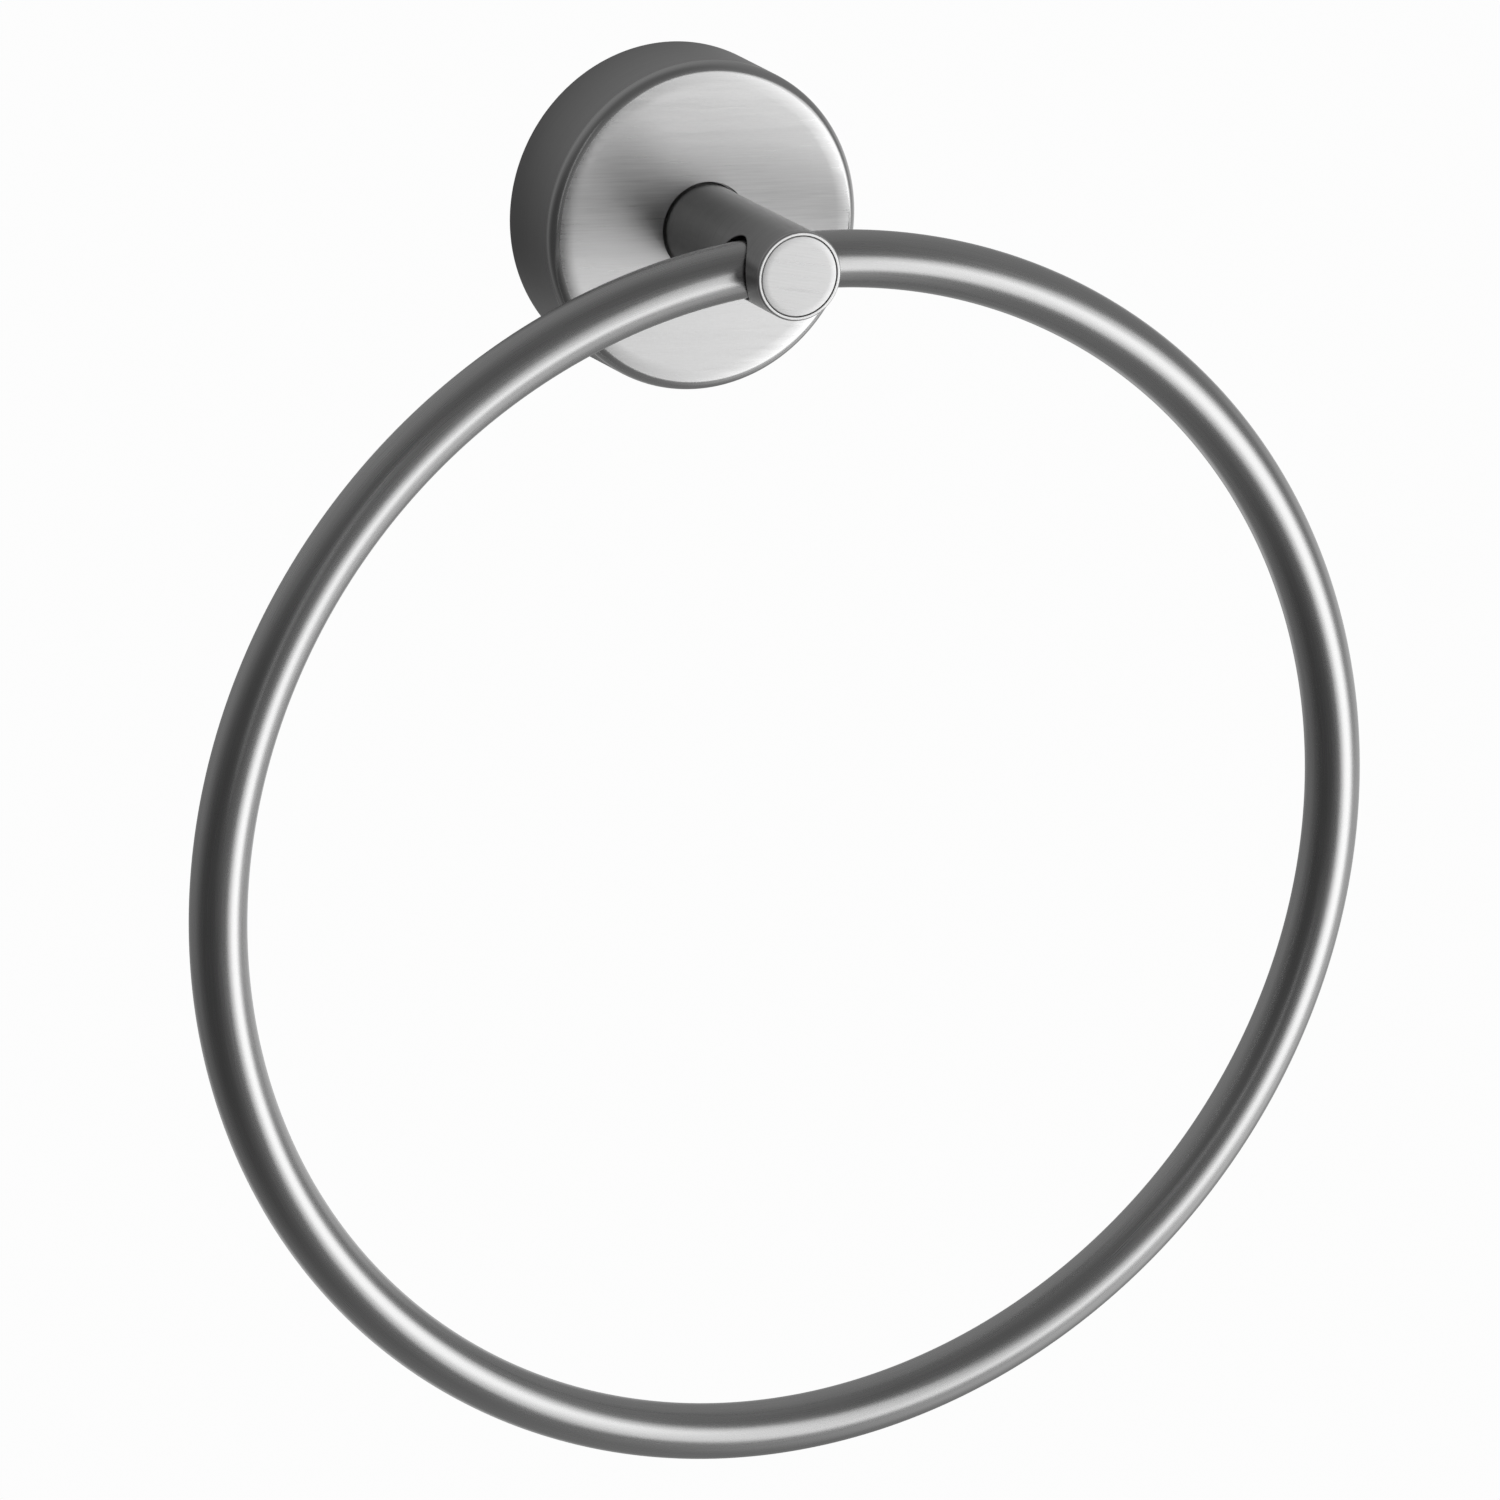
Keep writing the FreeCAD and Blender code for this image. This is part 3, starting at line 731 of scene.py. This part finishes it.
def build_post():
    lip = POST_LIP_ROUNDING
    edge = POST_LIP_BREAK
    front = post_front_reach
    shoulder = post_back_reach + POST_BACK_CHAMFER
    window_low = bore_reach - RING_BORE_WINDOW
    window_high = bore_reach + RING_BORE_WINDOW
    runs = (
        straight((post_back_reach, 0.0), (post_back_reach, post_radius - POST_BACK_CHAMFER)),
        straight((post_back_reach, post_radius - POST_BACK_CHAMFER), (shoulder, post_radius)),
        straight((shoulder, post_radius), (window_low, post_radius)),
        straight((window_high, post_radius), (front - lip, post_radius)),
        straight((front - edge, counterbore_radius), (cap_back_reach, counterbore_radius)),
        straight((cap_back_reach, counterbore_radius), (cap_back_reach, 0.0)),
    )
    lip_runs = (
        rounded((front - lip, post_radius - lip), lip, 0, 90),
        straight((front, post_radius - lip), (front, counterbore_radius + edge)),
        rounded((front - edge, counterbore_radius + edge), edge, 90, 180, EDGE_BREAK_STEPS),
    )
    patches = [(turned(run), post_steel) for run in runs]
    patches += [(turned(run), lip_steel) for run in lip_runs]

    def wall(_):
        return post_radius

    # Each of the bore's two mouths has a window of half the post's girth, a quarter to each side,
    # and the bore joins them.
    quarter_turn = TURNED_STEPS // 4
    mouths = []
    for out in ((1, 0, 0), (-1, 0, 0)):
        mouth = Hole(
            out,
            (0, 0, 1),
            RING_BORE_RADIUS,
            bore_reach,
            window_low,
            window_high,
            quarter_turn,
            RING_BORE_EDGE_BREAK,
        )
        patches.append((mouth.flank(wall, 1, post_radius), post_steel))
        rim = mouth.rim(wall, 1, post_radius)
        patches.append((rim, bore_steel))
        mouths.append(rim[0])
    patches.append((mouth.bore(*mouths, post_radius), bore_steel))
    return piece_from_patches("turned_post", patches)


def build_cap():
    front = post_front_reach
    edge = CAP_EDGE_BREAK
    crown = Crown(front, cap_radius, edge, CAP_CROWN_TURN, CAP_CROWN_WIDTH)
    flank_runs = (
        straight((cap_back_reach, 0.0), (cap_back_reach, cap_radius - edge)),
        straight((cap_back_reach, cap_radius - edge), (cap_back_reach + edge, cap_radius)),
        straight((cap_back_reach + edge, cap_radius), (crown.bend_reach, cap_radius)),
    )
    face_runs = (crown.bend, crown.rise, straight((front, crown.start), (front, 0.0)))
    patches = [(turned(run), post_steel) for run in flank_runs]
    patches += [(turned(run, stroke_turn=CAP_STROKE_TURN), cap_steel) for run in face_runs]
    return piece_from_patches("end_cap", patches)


def build_cover():
    depth = cover_depth
    crown = Crown(depth, cover_front_radius, COVER_ROUNDING, COVER_CROWN_TURN, COVER_CROWN_WIDTH)
    inner_bend = COVER_ROUNDING - COVER_WALL
    hole_radius = post_radius + COVER_POST_GAP
    inside = depth - COVER_WALL
    inner_front = cover_front_radius - COVER_WALL
    window = KEY_HOLE_WINDOW_DEPTH

    def outer_wall(reach):
        share = min(reach / crown.bend_reach, 1.0)
        return cover_back_radius - COVER_DRAFT * share

    def inner_wall(reach):
        share = min(reach / (inside - inner_bend), 1.0)
        return cover_back_radius - COVER_WALL - COVER_DRAFT * share

    flank = straight((window, outer_wall(window)), (crown.bend_reach, cover_front_radius))
    face = straight((depth, crown.start), (depth, hole_radius))
    post_hole = straight((depth, hole_radius), (inside, hole_radius))
    inner_face = straight((inside, hole_radius), (inside, inner_front - inner_bend))
    inner_corner = rounded((inside - inner_bend, inner_front - inner_bend), inner_bend, 90, 0)
    inner_corner = [(place, (-normal[0], -normal[1])) for place, normal in inner_corner]
    inner_flank = straight((inside - inner_bend, inner_front), (window, inner_wall(window)))
    rim = straight((0.0, inner_wall(0.0)), (0.0, outer_wall(0.0)))
    patches = [(turned(flank), flank_steel)]
    patches += [(turned(run, stroke_turn=COVER_STROKE_TURN), face_steel) for run in (crown.rise, face)]
    inner_runs = (post_hole, inner_face, inner_corner, inner_flank)
    patches += [(turned(run), inner_steel) for run in inner_runs]
    patches += [(turned(crown.bend), edge_steel), (turned(rim), flank_steel)]
    # The band next to the wall stops at both sides of the key hole's window.
    down = TURNED_STEPS // 2
    first = down + KEY_HOLE_WINDOW_STEPS
    last = down - KEY_HOLE_WINDOW_STEPS + TURNED_STEPS
    outer_band = straight((0.0, outer_wall(0.0)), (window, outer_wall(window)))
    inner_band = straight((window, inner_wall(window)), (0.0, inner_wall(0.0)))
    patches.append((turned(outer_band, first, last), flank_steel))
    patches.append((turned(inner_band, first, last), inner_steel))
    hole = Hole(
        (0, 0, -1),
        (1, 0, 0),
        KEY_HOLE_RADIUS,
        KEY_HOLE_REACH,
        0.0,
        window,
        KEY_HOLE_WINDOW_STEPS,
        KEY_HOLE_EDGE_BREAK,
    )
    mouths = []
    for wall, facing_out, material in ((outer_wall, 1, flank_steel), (inner_wall, -1, inner_steel)):
        patches.append((hole.flank(wall, facing_out, cover_back_radius), material))
        edge = hole.rim(wall, facing_out, cover_back_radius)
        patches.append((edge, material))
        mouths.append(edge[0])
    patches.append((hole.bore(*mouths, cover_back_radius), inner_steel))
    return piece_from_patches("rosette", patches)


def smooth_copy(name, node, material):
    """A CAD node's copy with its loose triangles joined, smooth but for its broken edges."""
    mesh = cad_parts[node].data.copy()
    mesh.name = name
    shape = bmesh.new()
    shape.from_mesh(mesh)
    bmesh.ops.remove_doubles(shape, verts=shape.verts, dist=FIXING_WELD)
    bmesh.ops.dissolve_limit(shape, angle_limit=FIXING_FLAT_TURN, verts=shape.verts, edges=shape.edges)
    for face in shape.faces:
        face.smooth = True
    for edge in shape.edges:
        edge.smooth = edge.calc_face_angle(0.0) < FIXING_SHARP_TURN
    shape.to_mesh(mesh)
    shape.free()
    mesh.materials.clear()
    mesh.materials.append(material)
    piece = add_to_scene(name, mesh)
    bevel = piece.modifiers.new("broken edges", "BEVEL")
    bevel.width = FIXING_EDGE_BREAK
    bevel.segments = FIXING_EDGE_STEPS
    bevel.limit_method = "ANGLE"
    bevel.angle_limit = FIXING_SHARP_TURN
    bevel.harden_normals = True
    return piece


ring = made_by_nodes("towel_ring", build_ring_tree(ring_steel), RING_INPUTS)
lay_ring_uv(ring.data)

# Each piece with its body, the CAD node that it stands for, and the slot of its finish
pieces = [
    (ring, "ring", "ring", "ring_steel"),
    (build_post(), "bracket", "post", "post_steel"),
    (build_cap(), "bracket", "post_cap", "cap_steel"),
    (build_cover(), "bracket", "rosette_cover", "cover_steel"),
]
# Each fixing with the CAD node that it is a copy of, its steel, and the slot of its finish
FIXINGS = (
    ("turned_hub", "mounting_hub", zinc_steel, "fixing_steel"),
    ("wall_plate", "wall_bracket", zinc_steel, "fixing_steel"),
    ("countersunk_screw", "post_screw", screw_steel, "screw_steel"),
    ("dowel_pin", "locating_pin", screw_steel, "screw_steel"),
    ("set_screw", "grub_screw", screw_steel, "screw_steel"),
)
for name, node, material, slot in FIXINGS:
    pieces.append((smooth_copy(name, node, material), "bracket", node, slot))
for piece, body, node, slot in pieces:
    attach(piece, body)
    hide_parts(node)


# Studio
def facing(azimuth, elevation):
    """The direction at an azimuth from -Y towards +X, and an elevation, in degrees."""
    turn, rise = math.radians(azimuth), math.radians(elevation)
    return Vector((math.sin(turn) * math.cos(rise), -math.cos(turn) * math.cos(rise), math.sin(rise)))


def add_camera():
    back = facing(CAMERA_AZIMUTH, CAMERA_ELEVATION)
    level = (-back).cross(Vector((0, 0, 1))).normalized()
    down = (-back).cross(level)
    roll = math.radians(CAMERA_ROLL)
    right = math.cos(roll) * level + math.sin(roll) * down
    data = bpy.data.cameras.new("camera")
    data.lens = CAMERA_LENS
    data.sensor_width = CAMERA_SENSOR
    data.clip_start = CAMERA_CLIP_START
    camera = add_to_scene("camera", data)
    matrix = camera.matrix_world.to_3x3()
    matrix.col[0] = right
    matrix.col[1] = back.cross(right)
    matrix.col[2] = back
    camera.matrix_world = matrix.to_4x4()
    camera.location = CAMERA_TARGET + back * CAMERA_DISTANCE
    bpy.context.scene.camera = camera


def add_soft_box(name, direction, distance, width, height, brightness):
    """An area light that faces the object."""
    data = bpy.data.lights.new(name, "AREA")
    data.shape = "RECTANGLE"
    data.size = width
    data.size_y = height
    data.energy = brightness * math.pi * width * height
    light = add_to_scene(name, data)
    light.location = LIGHT_AIM + direction * distance
    light.rotation_euler = direction.to_track_quat("Z", "Y").to_euler()


def add_surroundings():
    """A white backdrop for the eye, and dim grey walls for the steel to reflect."""
    world = bpy.data.worlds.new("studio")
    bpy.context.scene.world = world
    world.use_nodes = True
    tree = world.node_tree
    tree.nodes.clear()
    direction = tree.nodes.new("ShaderNodeTexCoord").outputs["Generated"]
    grey = ROOM_GREY
    for label, azimuth, elevation, full, gone, change in SURROUNDINGS:
        toward = vector_node(tree, "DOT_PRODUCT", direction, facing(azimuth, elevation))["Value"]
        angle = math_node(tree, "ARCCOSINE", toward)
        start, end = math.radians(full), math.radians(gone)
        region = slope(tree, "SMOOTHERSTEP", angle, start, end, change, 0.0)
        region.node.label = label
        grey = math_node(tree, "ADD", region, grey)
    walls = tree.nodes.new("ShaderNodeBackground")
    tree.links.new(grey, walls.inputs["Color"])
    seen = tree.nodes.new("ShaderNodeBackground")
    seen.inputs["Color"].default_value = WHITE
    seen.inputs["Strength"].default_value = BACKDROP_WHITE
    to_the_eye = tree.nodes.new("ShaderNodeLightPath").outputs["Is Camera Ray"]
    mix_to_output(
        tree,
        "ShaderNodeOutputWorld",
        to_the_eye,
        walls.outputs["Background"],
        seen.outputs["Background"],
    )


def add_wall_shade():
    """The dim strip of wall next to the rosette, for its flank to reflect. The camera misses it."""
    points = []
    for radius in (cover_back_radius + WALL_SHADE_GAP, cover_back_radius + WALL_SHADE_GONE):
        for step in range(WALL_SHADE_STEPS):
            angle = 2 * math.pi * step / WALL_SHADE_STEPS
            points.append((radius * math.sin(angle), WALL_SHADE_DEPTH, radius * math.cos(angle)))
    faces = []
    for step in range(WALL_SHADE_STEPS):
        following = (step + 1) % WALL_SHADE_STEPS
        faces.append((step, following, WALL_SHADE_STEPS + following, WALL_SHADE_STEPS + step))
    mesh = bpy.data.meshes.new("wall_shade")
    mesh.from_pydata(points, [], faces)
    material = empty_material("wall_in_shade")
    mesh.materials.append(material)
    tree = material.node_tree
    place = tree.nodes.new("ShaderNodeTexCoord").outputs["Object"]
    away = vector_node(tree, "DISTANCE", place, WALL_SHADE_CENTRE)["Value"]
    share = slope(tree, "LINEAR", away, WALL_SHADE_FULL, WALL_SHADE_GONE, WALL_SHADE_DARKNESS, 0.0)
    clear = tree.nodes.new("ShaderNodeBsdfTransparent")
    dark = tree.nodes.new("ShaderNodeEmission")
    dark.inputs["Strength"].default_value = 0.0
    mix_to_output(
        tree,
        "ShaderNodeOutputMaterial",
        share,
        clear.outputs["BSDF"],
        dark.outputs["Emission"],
    )
    shade = add_to_scene("wall_shade", mesh)
    shade.visible_camera = False
    shade.visible_diffuse = False
    shade.visible_shadow = False


def add_floor():
    """A pale floor that glows evenly, so that no light or shadow changes it. The steel doesn't
    reflect it."""
    half = FLOOR_SIZE / 2
    corners = [(-half, -half), (half, -half), (half, half), (-half, half)]
    mesh = bpy.data.meshes.new("floor")
    mesh.from_pydata([(x, y, FLOOR_LEVEL) for x, y in corners], [], [(0, 1, 2, 3)])
    material = empty_material("pale_floor")
    mesh.materials.append(material)
    glow = material.node_tree.nodes.new("ShaderNodeEmission")
    glow.inputs["Color"].default_value = WHITE
    glow.inputs["Strength"].default_value = BACKDROP_WHITE
    result = material.node_tree.nodes.new("ShaderNodeOutputMaterial")
    material.node_tree.links.new(glow.outputs["Emission"], result.inputs["Surface"])
    floor = add_to_scene("floor", mesh)
    floor.visible_glossy = False
    floor.visible_diffuse = False
    floor.visible_shadow = False


add_camera()
add_surroundings()
for name, azimuth, elevation, distance, width, height, brightness in SOFT_BOXES:
    add_soft_box(name, facing(azimuth, elevation), distance, width, height, brightness)
add_wall_shade()
add_floor()
bpy.context.scene.view_settings.view_transform = "Standard"
bpy.context.scene.view_settings.look = "None"
